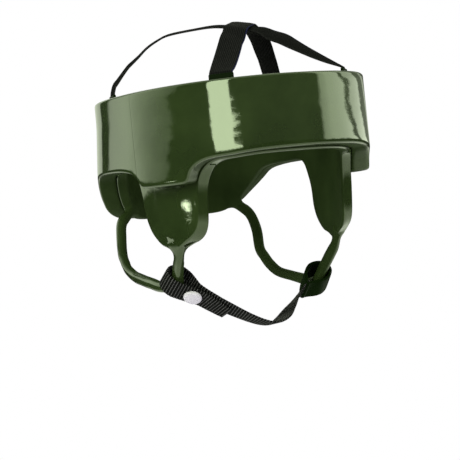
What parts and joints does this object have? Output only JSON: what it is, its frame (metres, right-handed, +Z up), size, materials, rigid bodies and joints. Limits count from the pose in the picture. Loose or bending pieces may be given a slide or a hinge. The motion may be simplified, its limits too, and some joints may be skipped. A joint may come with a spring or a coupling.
{
  "type": "soft protective helmet",
  "caption": "Open-top halo helmet of coated foam with ear covers, crossed webbing crown straps and a webbing chin strap closed by a snap.",
  "frame": {"origin": "underside of the crown straps where they cross, the point by which a head carries the helmet", "axes": "+Z up, the wearer faces -Y, the wearer's right is -X"},
  "size_m": [0.208, 0.2546, 0.2565],
  "materials": {
    "green_vinyl": "glossy dipped vinyl over closed-cell foam",
    "dark_green_vinyl": "glossy dipped vinyl over webbing",
    "black_webbing": "ribbed woven webbing",
    "white_snap": "white painted snap cap",
    "nickel": "plain snap socket"
  },
  "bodies": {
    "root": {"halo_band": "green_vinyl", "inner_shell": "green_vinyl", "leg_strip_right": "green_vinyl", "leg_strip_left": "green_vinyl", "strap_tab_front_right": "dark_green_vinyl", "strap_tab_front_left": "dark_green_vinyl", "strap_tab_rear_right": "dark_green_vinyl", "strap_tab_rear_left": "dark_green_vinyl", "crown_strap_over": "black_webbing", "crown_strap_under": "black_webbing", "chin_strap": "black_webbing", "chin_tab_left": "dark_green_vinyl", "snap_cap": "white_snap", "snap_socket": "nickel"}
  },
  "joints": []
}
